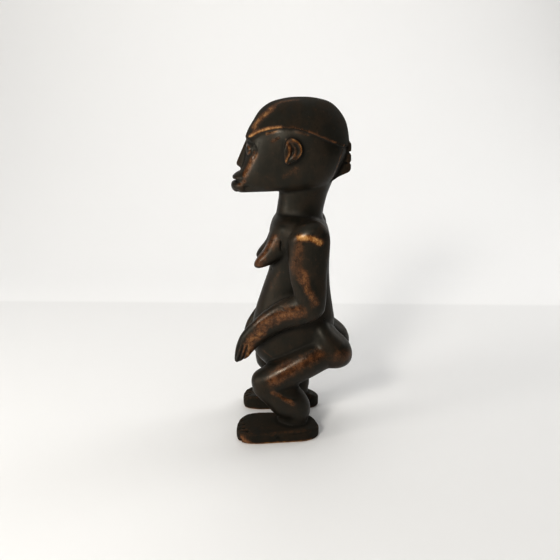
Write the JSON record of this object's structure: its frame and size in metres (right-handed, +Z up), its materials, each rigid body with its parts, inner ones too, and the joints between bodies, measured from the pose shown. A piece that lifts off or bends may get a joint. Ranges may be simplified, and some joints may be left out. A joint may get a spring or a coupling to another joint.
{
  "type": "carved wooden figure",
  "caption": "Free-standing carved wooden female figure with bent knees, hands held low at the belly, capped hair and a hanging plait.",
  "frame": {"origin": "on the ground, at the centre of the figure's footprint box", "axes": "+Z up, the figure faces -Y, its left side is +X"},
  "size_m": [0.0944, 0.1084, 0.3],
  "materials": {
    "stained_wood": "dark stained and waxed, semi-gloss, rubbed back to warm brown on the high places"
  },
  "bodies": {
    "root": {"head": "stained_wood", "coiffure_cap": "stained_wood", "hanging_plait": "stained_wood", "nose": "stained_wood", "upper_lip": "stained_wood", "lower_lip": "stained_wood", "left_eye": "stained_wood", "right_eye": "stained_wood", "left_ear": "stained_wood", "right_ear": "stained_wood", "neck": "stained_wood", "torso": "stained_wood", "left_breast": "stained_wood", "right_breast": "stained_wood", "left_upper_arm": "stained_wood", "right_upper_arm": "stained_wood", "left_forearm": "stained_wood", "right_forearm": "stained_wood", "left_hand": "stained_wood", "right_hand": "stained_wood", "left_buttock": "stained_wood", "right_buttock": "stained_wood", "left_thigh": "stained_wood", "right_thigh": "stained_wood", "left_lower_leg": "stained_wood", "right_lower_leg": "stained_wood", "left_foot": "stained_wood", "right_foot": "stained_wood"}
  },
  "joints": []
}
